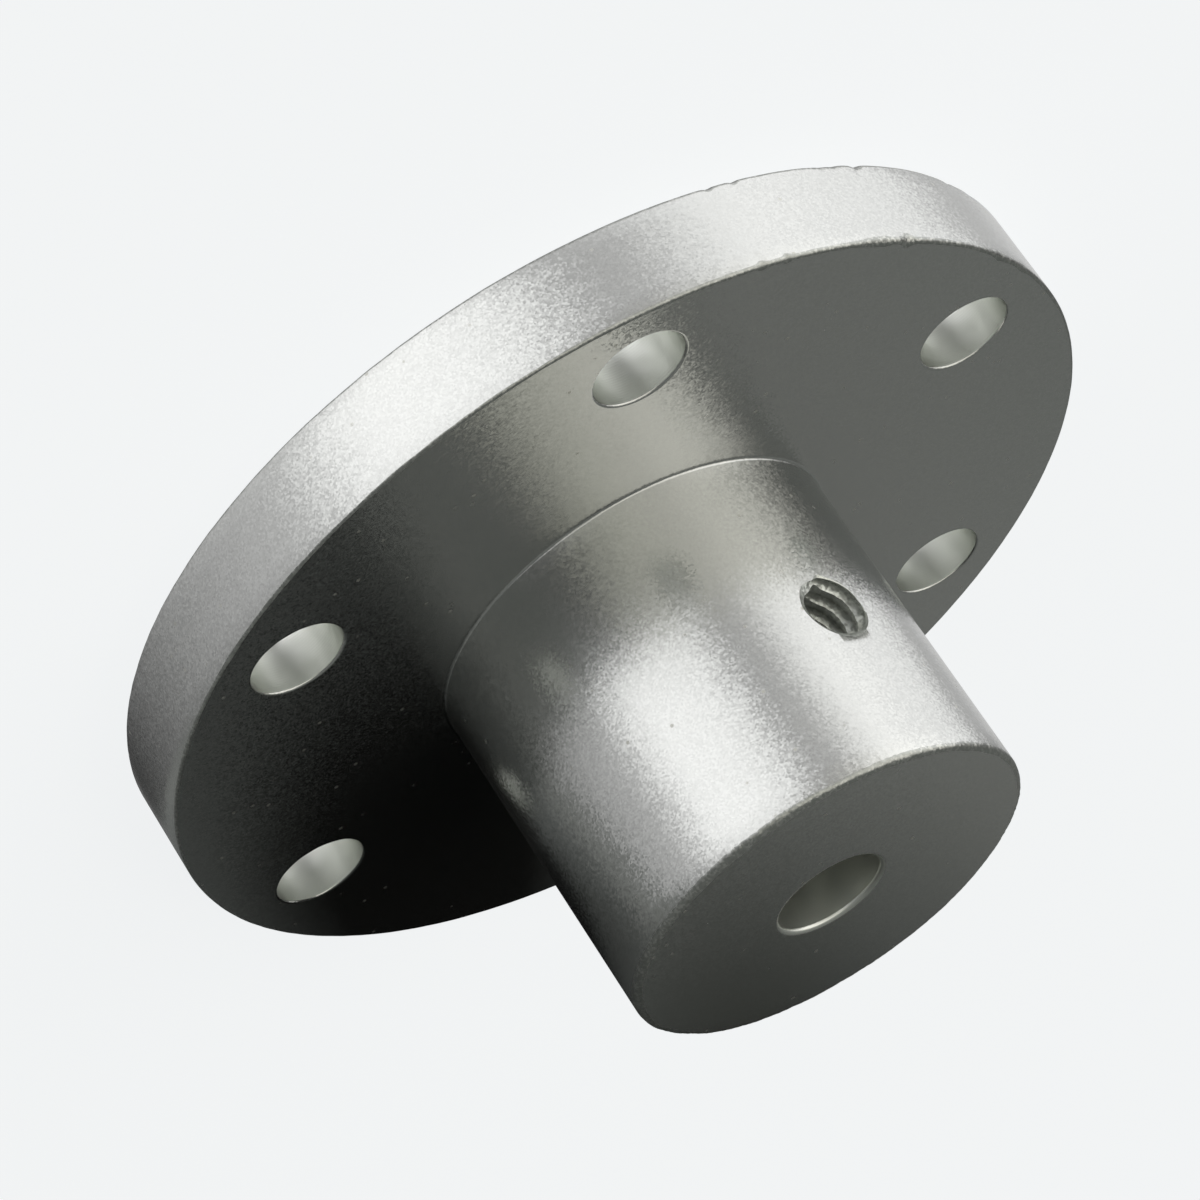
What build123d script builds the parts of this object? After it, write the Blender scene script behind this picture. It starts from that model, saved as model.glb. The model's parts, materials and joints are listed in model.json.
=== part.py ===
"""Flanged mounting hub, turned from one piece of aluminium bar.

A round flange carries a ring of plain screw holes. A cylindrical boss rises from the flange's front
face, with the shaft bore along its axis and one tapped hole for a set screw through its wall.

Origin at the centre of the bore on the flange's back face. +Z runs along the bore to the boss's nose,
and +X runs out through the set-screw hole. Lengths are in millimetres.
"""

import os

from build123d import *

# Flange
flange_diameter = 45.0
flange_thickness = 4.5
flange_edge_break = 0.12

# Boss
boss_diameter = 19.0
boss_length = 16.2
boss_edge_break = 0.3
boss_root_fillet = 0.3

# Shaft bore
bore_diameter = 5.0
bore_chamfer = 0.25

# Screw holes, evenly spaced round the flange, with this much metal between each one and the rim
screw_hole_count = 6
screw_hole_diameter = 4.3
screw_hole_break = 0.12
screw_hole_rim_wall = 1.75

# Set-screw hole: tap-drill size, its countersink, and how far its axis is from the boss's nose
set_screw_drill_diameter = 2.75
set_screw_countersink_diameter = 3.6
set_screw_from_nose = 7.9

# How far a cutter runs past the surface that it opens
overrun = 1.0

flange_radius = flange_diameter / 2
boss_radius = boss_diameter / 2
hub_height = flange_thickness + boss_length
set_screw_height = hub_height - set_screw_from_nose
screw_circle_radius = flange_radius - screw_hole_rim_wall - screw_hole_diameter / 2
hole_pitch_angle = 360 / screw_hole_count


def hub_blank():
    """The turned outside: flange, root fillet, boss and their edge breaks, as one revolved section."""
    flange = Polyline(
        (0, 0),
        (flange_radius - flange_edge_break, 0),
        (flange_radius, flange_edge_break),
        (flange_radius, flange_thickness - flange_edge_break),
        (flange_radius - flange_edge_break, flange_thickness),
        (boss_radius + boss_root_fillet, flange_thickness),
    )
    root_centre = (boss_radius + boss_root_fillet, flange_thickness + boss_root_fillet)
    root = CenterArc(root_centre, boss_root_fillet, start_angle=270, arc_size=-90)
    boss = Polyline(
        (boss_radius, flange_thickness + boss_root_fillet),
        (boss_radius, hub_height - boss_edge_break),
        (boss_radius - boss_edge_break, hub_height),
        (0, hub_height),
        (0, 0),
    )
    return revolve(Plane.XZ * make_face(flange + root + boss), Axis.Z)


def drilled_through(radius, depth, edge_break):
    """Cutter for a hole along +Z from 0 to depth, with a 45-degree break at both mouths."""
    wide = radius + edge_break + overrun
    section = Polyline(
        (0, -overrun),
        (wide, -overrun),
        (radius, edge_break),
        (radius, depth - edge_break),
        (wide, depth + overrun),
        (0, depth + overrun),
        close=True,
    )
    return revolve(Plane.XZ * make_face(section), Axis.Z)


def set_screw_hole():
    """Cutter along +X from the bore's axis out through the boss wall, countersunk at its mouth."""
    drill_radius = set_screw_drill_diameter / 2
    countersink_radius = set_screw_countersink_diameter / 2
    countersink_depth = countersink_radius - drill_radius
    section = Polyline(
        (0, 0),
        (0, drill_radius),
        (boss_radius - countersink_depth, drill_radius),
        (boss_radius + overrun, countersink_radius + overrun),
        (boss_radius + overrun, 0),
        close=True,
    )
    return Pos(0, 0, set_screw_height) * revolve(make_face(section), Axis.X)


def mounting_hub():
    """The whole hub: blank, bore, ring of screw holes half a pitch off +X, and set-screw hole."""
    bore = drilled_through(bore_diameter / 2, hub_height, bore_chamfer)
    screw_hole = drilled_through(screw_hole_diameter / 2, flange_thickness, screw_hole_break)
    ring = PolarLocations(screw_circle_radius, screw_hole_count, start_angle=hole_pitch_angle / 2)
    hub = hub_blank() - bore - set_screw_hole()
    for place in ring:
        hub -= place * screw_hole
    return hub


os.makedirs("parts", exist_ok=True)
hub = mounting_hub()
hub.label = "mounting_hub"
export_step(hub, "parts/mounting_hub.step")
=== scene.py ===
"""Looks of the mounting hub: its turned and blasted skin, its drilled holes and its cut thread.

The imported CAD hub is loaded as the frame, and one modelled piece stands for it. Lengths are worked out in
millimetres while a mesh is shaped, and a finished mesh is turned to metres once.
"""

import json
import math

import bmesh
import bpy
from mathutils import Matrix, Vector, noise


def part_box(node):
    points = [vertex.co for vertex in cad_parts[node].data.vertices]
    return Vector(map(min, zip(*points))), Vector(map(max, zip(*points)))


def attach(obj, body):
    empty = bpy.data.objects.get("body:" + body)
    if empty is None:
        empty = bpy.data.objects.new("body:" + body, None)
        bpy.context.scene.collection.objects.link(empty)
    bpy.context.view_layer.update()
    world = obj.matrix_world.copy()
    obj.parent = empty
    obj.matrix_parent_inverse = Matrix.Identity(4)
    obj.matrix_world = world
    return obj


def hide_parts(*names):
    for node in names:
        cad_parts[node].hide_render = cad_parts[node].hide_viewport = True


bl_info = {
    "name": "Mounting Hub",
    "version": (1, 0, 0),
    "blender": (4, 5, 0),
    "location": "3D View > Sidebar > Hub",
    "description": "Models a flanged mounting hub, with its blasted finish and cut thread, in a studio",
    "category": "Object",
}

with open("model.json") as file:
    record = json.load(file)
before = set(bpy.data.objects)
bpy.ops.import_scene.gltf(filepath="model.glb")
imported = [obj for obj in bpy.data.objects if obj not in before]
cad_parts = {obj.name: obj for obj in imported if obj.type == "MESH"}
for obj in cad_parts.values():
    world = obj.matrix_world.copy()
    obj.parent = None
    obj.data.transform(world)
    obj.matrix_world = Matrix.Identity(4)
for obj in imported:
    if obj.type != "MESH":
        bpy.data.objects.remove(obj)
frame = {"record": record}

MM = 0.001
MOUNTS = {mount["name"]: mount for mount in frame["record"]["mounts"]}
HUB_LOW, HUB_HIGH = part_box("mounting_hub")


def srgb(hex_colour, alpha=1.0):
    """Turns a hex colour such as "#c8c8c8" into linear red, green, blue and alpha."""
    channels = [int(hex_colour[i : i + 2], 16) / 255 for i in (1, 3, 5)]
    linear = [c / 12.92 if c <= 0.04045 else ((c + 0.055) / 1.055) ** 2.4 for c in channels]
    return (*linear, alpha)


def length(name, description, default):
    """A length in metres, shown in the scene's own unit."""
    return bpy.props.FloatProperty(
        name=name,
        description=description,
        default=default,
        min=0.0,
        precision=5,
        subtype="DISTANCE",
        unit="LENGTH",
    )


def colour(name, description, hex_colour):
    """A colour given as sRGB hex."""
    return bpy.props.FloatVectorProperty(
        name=name,
        description=description,
        default=srgb(hex_colour),
        size=4,
        min=0.0,
        max=1.0,
        subtype="COLOR",
    )


class HubSizes(bpy.types.PropertyGroup):
    """The hub's sizes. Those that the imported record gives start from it."""

    flange_diameter: length("Flange diameter", "Across the flange's rim", HUB_HIGH.y - HUB_LOW.y)
    flange_thickness: length(
        "Flange thickness",
        "Between the flange's two faces",
        MOUNTS["flange_front"]["pos_m"][2],
    )
    flange_break: length("Flange edge break", "Rounding of the flange's rims", 0.12 * MM)
    boss_diameter: length("Boss diameter", "Across the boss", 19.0 * MM)
    hub_height: length("Height", "From the flange's back to the nose", MOUNTS["nose"]["pos_m"][2])
    nose_break: length("Nose edge break", "Rounding of the nose's rim", 0.3 * MM)
    root_fillet: length("Root fillet", "Fillet where the boss meets the flange", 0.14 * MM)
    bore_diameter: length("Bore", "Shaft bore", 2 * MOUNTS["bore"]["dims"]["r_mm"] * MM)
    bore_break: length("Bore break", "Rounding of both mouths of the bore", 0.25 * MM)
    screw_circle: length(
        "Screw circle",
        "Diameter of the circle of screw holes",
        MOUNTS["bolts"]["dims"]["pcd_mm"] * MM,
    )
    screw_hole: length(
        "Screw hole",
        "Diameter of each screw hole",
        2 * MOUNTS["bolts"]["dims"]["hole_r_mm"] * MM,
    )
    screw_hole_break: length("Screw hole break", "Rounding of the screw holes' mouths", 0.12 * MM)
    tap_drill: length(
        "Tap drill",
        "Diameter between the thread's crests",
        2 * MOUNTS["set_screw"]["dims"]["r_mm"] * MM,
    )
    thread_diameter: length("Thread diameter", "Across the thread's roots", 3.505 * MM)
    thread_pitch: length("Thread pitch", "Between two crests of the thread", 25.4 / 32 * MM)
    countersink: length("Countersink", "Diameter of the set-screw hole's mouth", 3.6 * MM)
    screw_hole_count: bpy.props.IntProperty(
        name="Screw holes",
        description="How many screw holes the flange has",
        default=MOUNTS["bolts"]["dims"]["count"],
        min=1,
    )


class HubFinish(bpy.types.PropertyGroup):
    """Colours of the hub's surfaces and of the studio."""

    blasted: colour("Blasted skin", "Anodised skin, as blasted", "#cfd0ce")
    speck: colour("Specks", "Pale specks in the skin", "#c6c6c0")
    edge: colour("Worn edge", "Anodised edge breaks", "#a6a8a5")
    bare: colour("Bare fleck", "Bare metal where an edge break is rubbed through", "#c0c1be")
    drilled: colour("Drilled wall", "Anodised walls of the drilled and reamed holes", "#dfe1dc")
    thread: colour("Cut thread", "Anodised flanks of the cut thread", "#e6e9e4")
    backdrop: colour("Backdrop", "Floor and background", "#f2f4f5")


ROUND_STEPS = 900  # one step every 0.16 mm along the flange's rim
HOLE_STEPS = 96
THREAD_STEPS = 40  # for each turn
OVERRUN = 1.0  # how far a cutter runs past the surface that it opens, in mm
THREAD_BITE = 0.07  # how far the thread's section starts inside the drilled wall, in mm
THREAD_FLANK = 30  # slope of each flank of the thread, in degrees
COUNTERSINK_DEPTH = 0.3  # the countersink's depth, as a share of its width

# Dents along the flange's rims: angle from +X, half length (both in degrees), and how many times the
# break is widened there.
RIM_DENTS = (
    (15.4, 0.5, 1.1),
    (12.2, 0.45, 1.0),
    (-0.2, 2.2, 0.9),
    (-4.6, 0.8, 1.4),
    (-21.8, 1.4, 0.8),
    (-27.0, 1.0, 0.7),
)


def waver(angle, seed, waves):
    """Smooth noise round a circle, about -1 to 1, with about that many waves in a full turn."""
    reach = waves / math.tau
    return noise.noise(Vector((reach * math.cos(angle), reach * math.sin(angle), seed)))


def rim_wear(angle):
    """How many times wider than plain the break on the flange's rims is, at an angle in radians."""
    handled = max(math.cos(angle + 0.1), 0) ** 3
    wear = 0.9 + 0.75 * handled + 0.25 * waver(angle, 3.1, 40) + 0.2 * waver(angle, 8.7, 190)
    for place, half_length, widening in RIM_DENTS:
        away = (math.degrees(angle) - place) / half_length
        ragged = 1 + 0.9 * waver(angle, place, 420)
        wear += widening * ragged * math.exp(-away * away)
    return max(wear, 0.3)


def nose_wear(angle):
    """The same for the nose's rim, whose break wavers slowly and is ragged at the blast's own size."""
    return 1 + 0.22 * waver(angle, 1.7, 14) + 0.18 * waver(angle, 5.3, 60) + 0.14 * waver(angle, 9.9, 260)


def hole_wear(angle):
    """The same for a drilled hole's mouth."""
    return 1 + 0.3 * waver(angle, 2.3, 6) + 0.2 * waver(angle, 6.1, 22)


def mouth_wear(angle):
    """How far the tapped mouth's edge is pushed out, in mm. One deep notch points towards the flange."""
    notch_depth = 0.2
    notch_half_length = 11  # in degrees
    away = (math.degrees(angle) + 90) / notch_half_length
    return 0.04 * waver(angle, 4.4, 40) + notch_depth * math.exp(-away * away)


def spin_round(shape, axis, steps, centre=(0, 0, 0)):
    """Spins a half section once round an axis and closes its seam and its poles."""
    bmesh.ops.spin(
        shape,
        geom=shape.verts[:] + shape.edges[:],
        cent=centre,
        axis=axis,
        dvec=(0, 0, 0),
        angle=math.tau,
        steps=steps,
        use_merge=True,
    )
    bmesh.ops.remove_doubles(shape, verts=shape.verts[:], dist=1e-5)
    bmesh.ops.recalc_face_normals(shape, faces=shape.faces[:])


def chain(shape, points, closed=False):
    """Joins points into a chain of edges, and returns its vertices."""
    verts = [shape.verts.new(point) for point in points]
    ends = verts[1:] + verts[:1] if closed else verts[1:]
    for start, end in zip(verts, ends):
        shape.edges.new((start, end))
    return verts


def turned_blank(sizes):
    """The turned outside and the bore, spun from one half section whose corners are bevelled first."""
    blank = bmesh.new()
    bore = sizes.bore_diameter / 2 / MM
    rim = sizes.flange_diameter / 2 / MM
    boss = sizes.boss_diameter / 2 / MM
    front = sizes.flange_thickness / MM
    nose = sizes.hub_height / MM
    corners = ((bore, 0), (rim, 0), (rim, front), (boss, front), (boss, nose), (bore, nose))
    verts = chain(blank, [(radius, 0, height) for radius, height in corners], closed=True)
    breaks = (
        (sizes.bore_break, 5),
        (sizes.flange_break, 3),
        (sizes.flange_break, 3),
        (sizes.root_fillet, 5),
        (sizes.nose_break, 3),
        (sizes.bore_break, 5),
    )
    for vert, (size, segments) in zip(verts, breaks):
        bmesh.ops.bevel(
            blank,
            geom=[vert],
            offset=size / MM,
            offset_type="OFFSET",
            segments=segments,
            profile=0.5,
            affect="VERTICES",
            material=-1,
        )
    # Rings every millimetre keep the boss's shading even beside the set-screw hole
    for wall in blank.edges[:]:
        low, high = wall.verts
        upright = abs(low.co.x - high.co.x) < 0.01
        long_enough = wall.calc_length() > 3
        outside = low.co.x > bore + 1
        if upright and long_enough and outside:
            bmesh.ops.subdivide_edges(blank, edges=[wall], cuts=round(wall.calc_length()))
    spin_round(blank, (0, 0, 1), ROUND_STEPS)
    wear_edge(blank, rim, front, sizes.flange_break / MM, rim_wear)
    wear_edge(blank, rim, 0, sizes.flange_break / MM, rim_wear)
    wear_edge(blank, boss, nose, sizes.nose_break / MM, nose_wear)
    return blank


def wear_edge(shape, radius, height, reach, wear_at):
    """Scales the break along one turned edge about the edge's own corner, by the wear at each angle."""
    just_past = 1.01 * reach
    for vert in shape.verts:
        out = math.hypot(vert.co.x, vert.co.y)
        if abs(out - radius) > just_past or abs(vert.co.z - height) > just_past:
            continue
        wear = wear_at(math.atan2(vert.co.y, vert.co.x))
        moved = radius + (out - radius) * wear
        vert.co.x *= moved / out
        vert.co.y *= moved / out
        vert.co.z = height + (vert.co.z - height) * wear


def screw_hole_cutter(sizes):
    """One drill for each screw hole, with a rounded break of uneven width at both mouths."""
    cutter = bmesh.new()
    radius = sizes.screw_hole / 2 / MM
    depth = sizes.flange_thickness / MM
    edge = sizes.screw_hole_break / MM
    wide = radius + edge + 5 * OVERRUN
    turns = [math.radians(angle) for angle in (0, 20, 40, 60, 76)]
    lip = [(radius + edge * (1 - math.cos(turn)), depth - edge * (1 - math.sin(turn))) for turn in turns]
    upper = [*lip, (wide, depth + OVERRUN), (0, depth + OVERRUN)]
    lower = [(out, depth - height) for out, height in reversed(upper)]
    chain(cutter, [(out, 0, height) for out, height in lower + upper])
    spin_round(cutter, (0, 0, 1), HOLE_STEPS)
    wear_edge(cutter, radius, depth, edge, hole_wear)
    wear_edge(cutter, radius, 0, edge, hole_wear)
    bmesh.ops.translate(cutter, vec=(sizes.screw_circle / 2 / MM, 0, 0), verts=cutter.verts[:])
    pitch_angle = math.tau / sizes.screw_hole_count
    to_first = Matrix.Rotation(pitch_angle / 2, 3, "Z")
    bmesh.ops.rotate(cutter, cent=(0, 0, 0), matrix=to_first, verts=cutter.verts[:])
    bmesh.ops.spin(
        cutter,
        geom=cutter.verts[:] + cutter.edges[:] + cutter.faces[:],
        cent=(0, 0, 0),
        axis=(0, 0, 1),
        dvec=(0, 0, 0),
        angle=math.tau - pitch_angle,
        steps=sizes.screw_hole_count - 1,
        use_duplicate=True,
    )
    return cutter


def set_screw_cutter(sizes):
    """Tap drill along +X from the bore, with a shallow countersink whose edge the tap has left uneven."""
    cutter = bmesh.new()
    drill = sizes.tap_drill / 2 / MM
    mouth = sizes.countersink / 2 / MM
    boss = sizes.boss_diameter / 2 / MM
    height = MOUNTS["set_screw"]["pos_m"][2] / MM
    section = (
        (0, 0),
        (0, drill),
        (boss - COUNTERSINK_DEPTH * (mouth - drill), drill),
        (boss + OVERRUN, mouth + OVERRUN),
        (boss + OVERRUN, 0),
    )
    chain(cutter, [(along, 0, height + out) for along, out in section])
    spin_round(cutter, (1, 0, 0), HOLE_STEPS, (0, 0, height))
    for vert in cutter.verts:
        out = Vector((0, vert.co.y, vert.co.z - height))
        if vert.co.x > boss - 1 and out.length > drill - 0.01:
            vert.co += out.normalized() * mouth_wear(math.atan2(out.z, out.y))
    return cutter


def thread_cutter(sizes):
    """The tap's helical groove: a 60-degree section spun along +X, one pitch for each turn."""
    cutter = bmesh.new()
    pitch = sizes.thread_pitch / MM
    root = sizes.thread_diameter / 2 / MM
    inner = sizes.tap_drill / 2 / MM - THREAD_BITE
    height = MOUNTS["set_screw"]["pos_m"][2] / MM
    root_half = pitch / 9
    inner_half = root_half + (root - inner) * math.tan(math.radians(THREAD_FLANK))
    start = sizes.bore_diameter / 2 / MM - 2 * pitch
    section = (
        (start - inner_half, inner),
        (start - root_half, root),
        (start + root_half, root),
        (start + inner_half, inner),
    )
    verts = [cutter.verts.new((along, 0, height + out)) for along, out in section]
    face = cutter.faces.new(verts)
    turns = (sizes.boss_diameter - sizes.bore_diameter) / 2 / sizes.thread_pitch + 4
    bmesh.ops.spin(
        cutter,
        geom=[face, *face.edges, *face.verts],
        cent=(0, 0, height),
        axis=(1, 0, 0),
        dvec=(pitch / THREAD_STEPS, 0, 0),
        angle=turns * math.tau,
        steps=round(turns * THREAD_STEPS),
    )
    bmesh.ops.recalc_face_normals(cutter, faces=cutter.faces[:])
    return cutter


def as_object(shape, name):
    """Turns a bmesh into an object of the scene."""
    mesh = bpy.data.meshes.new(name)
    shape.to_mesh(mesh)
    shape.free()
    piece = bpy.data.objects.new(name, mesh)
    bpy.context.scene.collection.objects.link(piece)
    return piece


def cut_away(piece, cutters):
    """Takes the cutters out of the piece one after another, and removes them."""
    for cutter in cutters:
        step = piece.modifiers.new(cutter.name, "BOOLEAN")
        step.operation = "DIFFERENCE"
        step.solver = "EXACT"
        step.object = cutter
    graph = bpy.context.evaluated_depsgraph_get()
    shaped = bpy.data.meshes.new_from_object(piece.evaluated_get(graph))
    piece.modifiers.clear()
    piece.data = shaped
    for cutter in cutters:
        bpy.data.objects.remove(cutter)


BLASTED, EDGE, DRILLED, THREAD = range(4)

SLACK = 0.01  # how near a wall's own radius a face counts as part of it, in mm
MOUTH_REACH = 0.3  # how far past the countersink its ragged edge can reach, in mm
LEVEL = 0.98  # the least upright part of the normal of a flat face
SLOPING = 0.12  # and of a face that is no longer a turned wall
OUTWARD = 0.97  # the least outward part of the normal of the boss's own wall
ROOT_RISE = 0.4  # how far above the front face a face still belongs to the boss's root, in mm
ROOT_SPREAD = 2.5  # and how far out from the boss, in mm


def finish_of(face, sizes):
    """Which finish a face has, from where it lies and which way it looks. All in millimetres."""
    centre = face.calc_center_median()
    out = math.hypot(centre.x, centre.y)
    bore = sizes.bore_diameter / 2 / MM
    screw_height = MOUNTS["set_screw"]["pos_m"][2] / MM
    from_screw_axis = math.hypot(centre.y, centre.z - screw_height)
    outward = (centre.x * face.normal.x + centre.y * face.normal.y) / max(out, 0.001)
    near_screw_axis = from_screw_axis < sizes.countersink / 2 / MM + MOUTH_REACH
    if centre.x > 0 and out > bore + SLACK and near_screw_axis and abs(outward) < OUTWARD:
        return THREAD
    if out < bore + sizes.bore_break / MM + SLACK and abs(face.normal.z) < LEVEL:
        return DRILLED
    pitch_angle = math.tau / sizes.screw_hole_count
    nearest = (math.floor(math.atan2(centre.y, centre.x) / pitch_angle) + 0.5) * pitch_angle
    circle = sizes.screw_circle / 2 / MM
    from_hole = math.hypot(centre.x - circle * math.cos(nearest), centre.y - circle * math.sin(nearest))
    if from_hole < sizes.screw_hole / 2 / MM + SLACK:
        return DRILLED
    from_front = abs(centre.z - sizes.flange_thickness / MM)
    at_root = from_front < ROOT_RISE and out < sizes.boss_diameter / 2 / MM + ROOT_SPREAD
    at_hole = from_hole < (sizes.screw_hole / 2 + 3 * sizes.screw_hole_break) / MM
    if SLOPING < abs(face.normal.z) < LEVEL and not at_root and not at_hole:
        return EDGE
    return BLASTED


def dress_faces(piece, sizes):
    """Gives each face its finish, smooths the rounded ones, and keeps flat faces flat and corners sharp."""
    shape = bmesh.new()
    shape.from_mesh(piece.data)
    bmesh.ops.remove_doubles(shape, verts=shape.verts[:], dist=1e-4)
    bmesh.ops.dissolve_degenerate(shape, dist=1e-5, edges=shape.edges[:])
    shape.normal_update()
    for face in shape.faces:
        face.smooth = True
        face.material_index = finish_of(face, sizes)
    for edge in shape.edges:
        flat = [face for face in edge.link_faces if abs(face.normal.z) > 0.9999]
        edge.smooth = len(flat) != 1 and edge.is_manifold and edge.calc_face_angle(0) < math.radians(33)
    bmesh.ops.scale(shape, vec=(MM, MM, MM), verts=shape.verts[:])
    shape.to_mesh(piece.data)
    shape.free()
    weighted = piece.modifiers.new("Weighted normals", "WEIGHTED_NORMAL")
    weighted.keep_sharp = True


def add_node(tree, kind, inputs=None, **settings):
    """Adds a node with its settings, and gives each named input a value or a link."""
    node = tree.nodes.new(kind)
    for name, value in settings.items():
        setattr(node, name, value)
    for name, value in (inputs or {}).items():
        if isinstance(value, bpy.types.NodeSocket):
            tree.links.new(value, node.inputs[name])
        else:
            node.inputs[name].default_value = value
    return node


def new_material(name):
    """A material with no nodes yet."""
    material = bpy.data.materials.new(name)
    material.use_nodes = True
    material.node_tree.nodes.clear()
    return material


def darkened(base, share):
    """The same colour with that share of its light."""
    return (*(share * channel for channel in base[:3]), 1.0)


def blast_dimples(tree, place, across, tilt):
    """Facets left by the blast, each tilted and shaded its own way. Gives their normal and shade.

    They lean mostly sideways and little along the hub's axis: the photo's highlights have grainy sides, and
    smooth ends.
    """
    dimples = add_node(tree, "ShaderNodeTexVoronoi", {"Vector": place, "Scale": 1 / across})
    centred = add_node(
        tree,
        "ShaderNodeVectorMath",
        {0: dimples.outputs["Color"], 1: (0.5, 0.5, 0.5)},
        operation="SUBTRACT",
    )
    tilted = add_node(
        tree,
        "ShaderNodeVectorMath",
        {0: centred.outputs["Vector"], 1: (tilt, tilt, 0.25 * tilt)},
        operation="MULTIPLY",
    )
    plain = add_node(tree, "ShaderNodeNewGeometry").outputs["Normal"]
    facet = add_node(
        tree,
        "ShaderNodeVectorMath",
        {0: plain, 1: tilted.outputs["Vector"]},
        operation="ADD",
    )
    normal = add_node(
        tree,
        "ShaderNodeVectorMath",
        {0: facet.outputs["Vector"]},
        operation="NORMALIZE",
    )
    return normal.outputs["Vector"], dimples.outputs["Color"]


def blasted_anodised_aluminium(base, speck):
    """6061 aluminium, bead-blasted and clear anodised: a satin grey skin with a fine sparkling grain.

    The blast's dimples are about 0.05 mm across, and are drawn nearly twice as coarse, so that they show.
    Pale specks of 0.1 mm, where the blast nicked the skin or dust has stuck to it, lie about 1 mm apart.
    """
    material = new_material("blasted_anodised_aluminium")
    tree = material.node_tree
    place = add_node(tree, "ShaderNodeTexCoord").outputs["Object"]
    normal, shade = blast_dimples(tree, place, 0.09 * MM, 0.125)
    skin = add_node(
        tree,
        "ShaderNodeMix",
        {"Factor": shade, 6: darkened(base, 0.85), 7: base},
        data_type="RGBA",
    )
    spots = add_node(tree, "ShaderNodeTexVoronoi", {"Vector": place, "Scale": 1 / (0.9 * MM)})
    spot = add_node(
        tree,
        "ShaderNodeMapRange",
        {
            "Value": spots.outputs["Distance"],
            "From Min": 0.05,
            "From Max": 0.13,
            "To Min": 1.0,
            "To Max": 0.0,
        },
        interpolation_type="SMOOTHSTEP",
    )
    chosen = add_node(
        tree,
        "ShaderNodeMapRange",
        {"Value": spots.outputs["Color"], "From Min": 0.52, "From Max": 0.75},
        interpolation_type="SMOOTHSTEP",
    )
    nick = add_node(
        tree,
        "ShaderNodeMath",
        {0: spot.outputs["Result"], 1: chosen.outputs["Result"]},
        operation="MULTIPLY",
    )
    nicked = add_node(
        tree,
        "ShaderNodeMix",
        {"Factor": nick.outputs["Value"], 6: skin.outputs[2], 7: speck},
        data_type="RGBA",
    )
    metallic = add_node(
        tree,
        "ShaderNodeMapRange",
        {"Value": nick.outputs["Value"], "To Min": 0.98, "To Max": 0.75},
    )
    roughness = add_node(
        tree,
        "ShaderNodeMapRange",
        {"Value": nick.outputs["Value"], "To Min": 0.22, "To Max": 0.45},
    )
    shader = add_node(
        tree,
        "ShaderNodeBsdfPrincipled",
        {
            "Base Color": nicked.outputs[2],
            "Metallic": metallic.outputs["Result"],
            "Roughness": roughness.outputs["Result"],
            "Normal": normal,
        },
    )
    add_node(tree, "ShaderNodeOutputMaterial", {"Surface": shader.outputs["BSDF"]})
    return material


def worn_anodised_edge(base, bare):
    """The same skin on an edge break, rubbed by blast and handling: greyer, with bare bright flecks."""
    material = new_material("worn_anodised_edge")
    tree = material.node_tree
    place = add_node(tree, "ShaderNodeTexCoord").outputs["Object"]
    normal, shade = blast_dimples(tree, place, 0.1 * MM, 0.2)
    rubbed = add_node(
        tree,
        "ShaderNodeMapRange",
        {"Value": shade, "From Min": 0.45, "From Max": 0.8},
        interpolation_type="SMOOTHSTEP",
    )
    skin = add_node(
        tree,
        "ShaderNodeMix",
        {"Factor": rubbed.outputs["Result"], 6: base, 7: bare},
        data_type="RGBA",
    )
    shader = add_node(
        tree,
        "ShaderNodeBsdfPrincipled",
        {"Base Color": skin.outputs[2], "Metallic": 0.95, "Roughness": 0.32, "Normal": normal},
    )
    add_node(tree, "ShaderNodeOutputMaterial", {"Surface": shader.outputs["BSDF"]})
    return material


def drilled_anodised_wall(base):
    """Drilled or reamed wall, anodised: smoother than the skin, with faint rings from the tool's feed.

    The feed was about 0.1 mm for each turn. Soft blotches of 1 mm are where the blast reached into the hole.
    """
    material = new_material("drilled_anodised_wall")
    tree = material.node_tree
    place = add_node(tree, "ShaderNodeTexCoord").outputs["Object"]
    rings = add_node(
        tree,
        "ShaderNodeTexWave",
        {
            "Vector": place,
            "Scale": math.tau / 20 / (0.12 * MM),  # a wave at scale 1 is tau / 20 long
            "Distortion": 1.2,
            "Detail": 1.0,
            "Detail Scale": 0.3,
        },
        bands_direction="Z",
    )
    blotches = add_node(
        tree,
        "ShaderNodeTexNoise",
        {"Vector": place, "Scale": 1 / (1.3 * MM), "Detail": 1.0},
    )
    ringed = add_node(tree, "ShaderNodeBump", {"Height": rings.outputs["Fac"], "Distance": 0.002 * MM})
    uneven = add_node(
        tree,
        "ShaderNodeBump",
        {"Height": blotches.outputs["Fac"], "Distance": 0.03 * MM, "Normal": ringed.outputs["Normal"]},
    )
    shader = add_node(
        tree,
        "ShaderNodeBsdfPrincipled",
        {"Base Color": base, "Metallic": 0.95, "Roughness": 0.3, "Normal": uneven.outputs["Normal"]},
    )
    add_node(tree, "ShaderNodeOutputMaterial", {"Surface": shader.outputs["BSDF"]})
    return material


def tapped_anodised_thread(base):
    """Flanks torn by the tap and anodised: bright crests, with duller, darker patches between them."""
    material = new_material("tapped_anodised_thread")
    tree = material.node_tree
    place = add_node(tree, "ShaderNodeTexCoord").outputs["Object"]
    normal, shade = blast_dimples(tree, place, 0.12 * MM, 0.15)
    torn = add_node(
        tree,
        "ShaderNodeMix",
        {"Factor": shade, 6: darkened(base, 0.65), 7: base},
        data_type="RGBA",
    )
    shader = add_node(
        tree,
        "ShaderNodeBsdfPrincipled",
        {"Base Color": torn.outputs[2], "Metallic": 0.85, "Roughness": 0.32, "Normal": normal},
    )
    add_node(tree, "ShaderNodeOutputMaterial", {"Surface": shader.outputs["BSDF"]})
    return material


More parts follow.
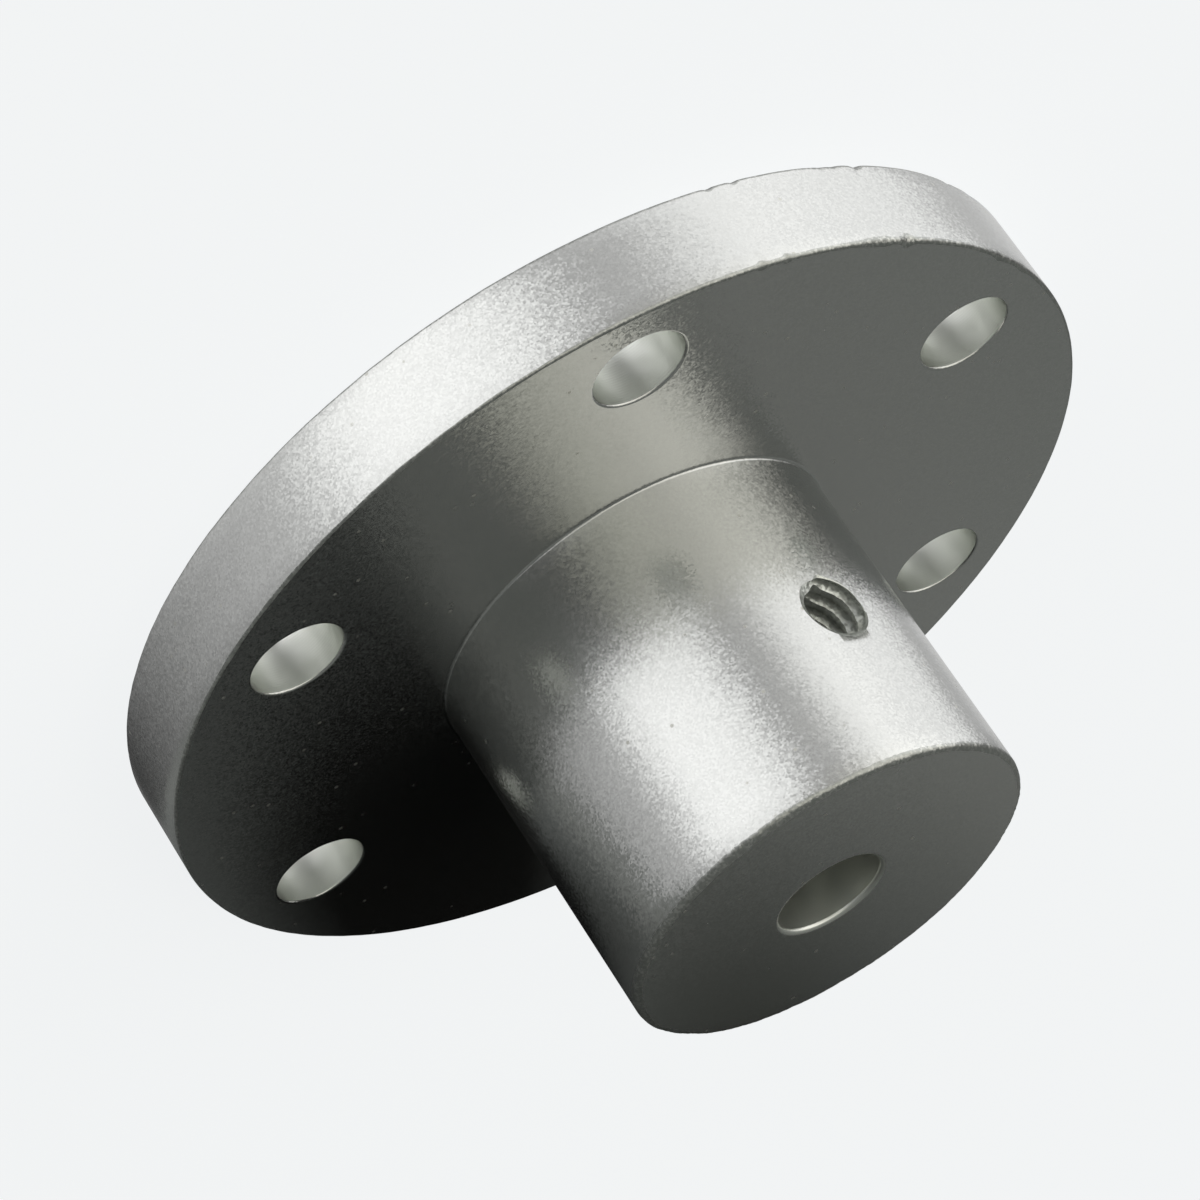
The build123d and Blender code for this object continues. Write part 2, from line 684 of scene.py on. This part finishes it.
class OBJECT_OT_hub_body(bpy.types.Operator):
    """Models the hub's body, with its holes, edge breaks and thread"""

    bl_idname = "object.hub_body"
    bl_label = "Hub Body"

    def execute(self, context):
        sizes = context.scene.hub_sizes
        finish = context.scene.hub_finish
        body = as_object(turned_blank(sizes), "hub_body")
        cutters = [
            as_object(screw_hole_cutter(sizes), "screw_hole_cutter"),
            as_object(set_screw_cutter(sizes), "set_screw_cutter"),
            as_object(thread_cutter(sizes), "thread_cutter"),
        ]
        cut_away(body, cutters)
        body.data.name = "hub_body"
        body.data.materials.clear()
        for material in (
            blasted_anodised_aluminium(finish.blasted, finish.speck),
            worn_anodised_edge(finish.edge, finish.bare),
            drilled_anodised_wall(finish.drilled),
            tapped_anodised_thread(finish.thread),
        ):
            body.data.materials.append(material)
        dress_faces(body, sizes)
        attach(body, "root")
        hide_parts("mounting_hub")
        return {"FINISHED"}


class SCENE_OT_hub_studio(bpy.types.Operator):
    """Sets up the floor, the lights and the camera"""

    bl_idname = "scene.hub_studio"
    bl_label = "Studio"

    def execute(self, context):
        finish = context.scene.hub_finish
        place_floor(finish)
        light_studio(context.scene, finish)
        lean_grey_card(context.scene.hub_sizes)
        place_camera(context.scene)
        return {"FINISHED"}


# Softboxes round the hub: azimuth from +X, height above the horizon, how far their full part and their
# faded edge reach from there (all in degrees), brightness and colour. In the photo the hub lies on its
# side, so most of its lamps are below the horizon here, where the hub stands on its flange.
SOFTBOXES = (
    (78, -52, 5, 98, 0.84, "#ffffff"),
    (57, -22, 16, 41, 0.88, "#ffffff"),
    (10, -24, 0, 28, 0.1, "#ffffff"),
    (316, -24, 18, 55, 1.27, "#ffffff"),
    (262, -25, 0, 24, 0.24, "#ffffff"),
    (239, -31, 5, 32, 0.72, "#ffffff"),
    (343, 28, 0, 65, 1.36, "#fffdf4"),
    (38, 26, 8, 34, 0.52, "#fffff0"),
    (230, 82, 0, 40, 0.2, "#ffffff"),
)


def towards(azimuth, elevation):
    """Direction with an azimuth from +X and a height above the horizon, both in degrees."""
    around, up = math.radians(azimuth), math.radians(elevation)
    return Vector((math.cos(around) * math.cos(up), math.sin(around) * math.cos(up), math.sin(up)))


def light_studio(scene, finish):
    """Lights the hub from the softboxes, and shows the camera the plain backdrop.

    The backdrop is left to the camera's own rays. In the photo the flat faces are near black beside a white
    background, so the metal doesn't mirror that background, but the dim room between the softboxes.
    """
    world = bpy.data.worlds.new("studio")
    world.use_nodes = True
    tree = world.node_tree
    tree.nodes.clear()
    direction = add_node(tree, "ShaderNodeTexCoord").outputs["Generated"]
    light = (0.0, 0.0, 0.0)
    for azimuth, elevation, full, faded, strength, tint in SOFTBOXES:
        facing = add_node(
            tree,
            "ShaderNodeVectorMath",
            {0: direction, 1: towards(azimuth, elevation)},
            operation="DOT_PRODUCT",
        )
        away = add_node(tree, "ShaderNodeMath", {0: facing.outputs["Value"]}, operation="ARCCOSINE")
        glow = add_node(
            tree,
            "ShaderNodeMapRange",
            {
                "Value": away.outputs["Value"],
                "From Min": math.radians(full),
                "From Max": math.radians(faded),
                "To Min": strength,
                "To Max": 0.0,
            },
            interpolation_type="SMOOTHSTEP",
        )
        tinted = add_node(
            tree,
            "ShaderNodeVectorMath",
            {0: srgb(tint)[:3], "Scale": glow.outputs["Result"]},
            operation="SCALE",
        )
        both = add_node(
            tree,
            "ShaderNodeVectorMath",
            {0: light, 1: tinted.outputs["Vector"]},
            operation="ADD",
        )
        light = both.outputs["Vector"]
    lamps = add_node(tree, "ShaderNodeBackground", {"Color": light, "Strength": 1.0})
    backdrop = add_node(tree, "ShaderNodeBackground", {"Color": finish.backdrop, "Strength": 1.0})
    seen = add_node(tree, "ShaderNodeLightPath").outputs["Is Camera Ray"]
    shown = add_node(tree, "ShaderNodeMixShader", {0: seen, 1: lamps.outputs[0], 2: backdrop.outputs[0]})
    add_node(tree, "ShaderNodeOutputWorld", {"Surface": shown.outputs["Shader"]})
    scene.world = world


CARD_AZIMUTH = 182.5  # the side of the hub that the card leans on, in degrees from +X
CARD_RADIUS = 0.3  # in metres
CARD_FOOT = -9  # height at which the card is cut off, in mm
CARD_GAP = 0.05  # between the card and the two rims, in mm


def lean_grey_card(sizes):
    """The tabletop of the photo: a grey card that leans on the rims of the flange and the nose.

    In the photo the hub lies on its side on it, and its flat faces mirror the shade between them. It's only
    seen in that mirror, so here, where the hub stands on its flange, it's hidden from the camera.
    """
    around = towards(CARD_AZIMUTH, 0)
    flange_rim = around * (sizes.flange_diameter / 2) + Vector((0, 0, sizes.flange_thickness))
    nose_rim = around * (sizes.boss_diameter / 2) + Vector((0, 0, sizes.hub_height))
    slope = (nose_rim - flange_rim).normalized()
    across = Vector((0, 0, 1)).cross(around)
    outward = across.cross(slope)
    turn = Matrix((slope, across, -outward)).transposed()
    shape = bmesh.new()
    bmesh.ops.create_circle(shape, cap_ends=True, segments=64, radius=CARD_RADIUS)
    bmesh.ops.rotate(shape, cent=(0, 0, 0), matrix=turn, verts=shape.verts[:])
    middle = (flange_rim + nose_rim) / 2 + outward * CARD_GAP * MM
    bmesh.ops.translate(shape, vec=middle, verts=shape.verts[:])
    bmesh.ops.bisect_plane(
        shape,
        geom=shape.verts[:] + shape.edges[:] + shape.faces[:],
        plane_co=(0, 0, CARD_FOOT * MM),
        plane_no=(0, 0, 1),
        clear_inner=True,
    )
    card = as_object(shape, "grey_card")
    # The card's colour carries painted shade, darkest just above where the flange's rim touches it, and the
    # flat faces mirror it.
    card.data.materials.append(grey_card_painted_shade(flange_rim + slope * 4 * MM))
    card.visible_camera = False
    card.visible_diffuse = False
    card.visible_shadow = False


def grey_card_painted_shade(contact):
    """Matt grey card with painted contact shade: darkest where the hub rests on it and painted lighter
    further out, as a tabletop lies in the hub's contact shade.
    """
    material = new_material("grey_card_painted_shade")
    tree = material.node_tree
    place = add_node(tree, "ShaderNodeTexCoord").outputs["Object"]
    away = add_node(tree, "ShaderNodeVectorMath", {0: place, 1: contact}, operation="DISTANCE")
    shade = add_node(tree, "ShaderNodeMapRange", {"Value": away.outputs["Value"], "From Max": 60 * MM})
    grey = add_node(tree, "ShaderNodeValToRGB", {"Fac": shade.outputs["Result"]})
    # Painted shade and light: near black within about 6 mm of the contact, mid grey further out.
    ramp = grey.color_ramp
    ramp.elements[0].position = 0.1
    ramp.elements[0].color = srgb("#0a0c0c")
    ramp.elements[1].position = 1.0
    ramp.elements[1].color = srgb("#747775")
    ramp.elements.new(0.2).color = srgb("#646766")
    ramp.elements.new(0.32).color = srgb("#676a69")
    ramp.elements.new(0.5).color = srgb("#858785")
    stock = add_node(tree, "ShaderNodeBsdfDiffuse", {"Color": grey.outputs["Color"]})
    add_node(tree, "ShaderNodeOutputMaterial", {"Surface": stock.outputs["BSDF"]})
    return material


FLOOR_RADIUS = 1.5  # in metres
FLOOR_DROP = 0.02  # between the hub's back and the floor, in mm
FLOOR_SHADE = (60, 200)  # how far from the hub's axis its shade starts to fade, and is gone, in mm


def place_floor(finish):
    """A pale floor that only the camera sees. Softboxes below the horizon shine through it."""
    shape = bmesh.new()
    bmesh.ops.create_circle(shape, cap_ends=True, segments=128, radius=FLOOR_RADIUS)
    bmesh.ops.translate(shape, vec=(0, 0, -FLOOR_DROP * MM), verts=shape.verts[:])
    floor = as_object(shape, "floor")
    floor.data.materials.append(matt_painted_floor(finish.backdrop))
    floor.visible_diffuse = False
    floor.visible_glossy = False
    floor.visible_transmission = False
    floor.visible_shadow = False


def matt_painted_floor(base):
    """Matt paint that keeps a faint shadow close to the hub, and has the backdrop's even colour further out.

    A glow of its own fills in most of the shade, as the photo's floor keeps a faint shadow only.
    """
    material = new_material("matt_painted_floor")
    tree = material.node_tree
    place = add_node(tree, "ShaderNodeTexCoord").outputs["Object"]
    away = add_node(tree, "ShaderNodeVectorMath", {0: place}, operation="LENGTH").outputs["Value"]
    near, far = (distance * MM for distance in FLOOR_SHADE)
    fill = add_node(
        tree,
        "ShaderNodeMapRange",
        {"Value": away, "From Min": near, "From Max": far, "To Min": 0.94, "To Max": 1.0},
        interpolation_type="SMOOTHSTEP",
    )
    share = add_node(
        tree,
        "ShaderNodeMapRange",
        {"Value": away, "From Min": near, "From Max": far, "To Min": 0.2, "To Max": 0.0},
        interpolation_type="SMOOTHSTEP",
    )
    tone = add_node(
        tree,
        "ShaderNodeMix",
        {"Factor": share.outputs["Result"], 6: srgb("#000000"), 7: base},
        data_type="RGBA",
    )
    glow = add_node(tree, "ShaderNodeEmission", {"Color": base, "Strength": fill.outputs["Result"]})
    paint = add_node(tree, "ShaderNodeBsdfDiffuse", {"Color": tone.outputs[2]})
    both = add_node(tree, "ShaderNodeAddShader", {0: glow.outputs[0], 1: paint.outputs[0]})
    add_node(tree, "ShaderNodeOutputMaterial", {"Surface": both.outputs["Shader"]})
    return material


# The photo's viewpoint, from a perspective fit of the hub's round edges: focal length on a 36 mm sensor,
# place in metres, azimuth and elevation of the side that it looks from, and roll, in degrees.
CAMERA_LENS = 141.42
CAMERA_PLACE = (0.12518, 0.13484, 0.09472)
CAMERA_SIDE = (46.77378, 26.44886)
CAMERA_ROLL = 146.0312


def place_camera(scene):
    """Looks from the photo's side. The photo shows the hub rolled, so the camera is rolled too."""
    data = bpy.data.cameras.new("photo_camera")
    data.sensor_width = 36.0
    data.lens = CAMERA_LENS
    data.clip_start = 0.01
    data.clip_end = 20.0
    camera = bpy.data.objects.new("photo_camera", data)
    scene.collection.objects.link(camera)
    roll = Matrix.Rotation(math.radians(CAMERA_ROLL), 4, "Z")
    turn = (-towards(*CAMERA_SIDE)).to_track_quat("-Z", "Y").to_matrix().to_4x4() @ roll
    camera.matrix_world = Matrix.Translation(CAMERA_PLACE) @ turn
    scene.camera = camera


class VIEW3D_PT_mounting_hub(bpy.types.Panel):
    """Lists the hub's sizes and colours, and a button for each piece"""

    bl_idname = "VIEW3D_PT_mounting_hub"
    bl_label = "Mounting Hub"
    bl_space_type = "VIEW_3D"
    bl_region_type = "UI"
    bl_category = "Hub"

    def draw(self, context):
        for group in (context.scene.hub_sizes, context.scene.hub_finish):
            box = self.layout.box()
            for name in group.bl_rna.properties.keys():
                if name not in ("rna_type", "name"):
                    box.prop(group, name)
        self.layout.operator(OBJECT_OT_hub_body.bl_idname)
        self.layout.operator(SCENE_OT_hub_studio.bl_idname)


CLASSES = (
    HubSizes,
    HubFinish,
    OBJECT_OT_hub_body,
    SCENE_OT_hub_studio,
    VIEW3D_PT_mounting_hub,
)


def register():
    for cls in CLASSES:
        bpy.utils.register_class(cls)
    bpy.types.Scene.hub_sizes = bpy.props.PointerProperty(type=HubSizes)
    bpy.types.Scene.hub_finish = bpy.props.PointerProperty(type=HubFinish)


def unregister():
    del bpy.types.Scene.hub_finish
    del bpy.types.Scene.hub_sizes
    for cls in reversed(CLASSES):
        bpy.utils.unregister_class(cls)


def main():
    """Builds the hub and its studio."""
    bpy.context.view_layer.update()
    register()
    bpy.ops.object.hub_body()
    bpy.ops.scene.hub_studio()
    bpy.context.scene.view_settings.view_transform = "Standard"


if __name__ == "__main__":
    main()
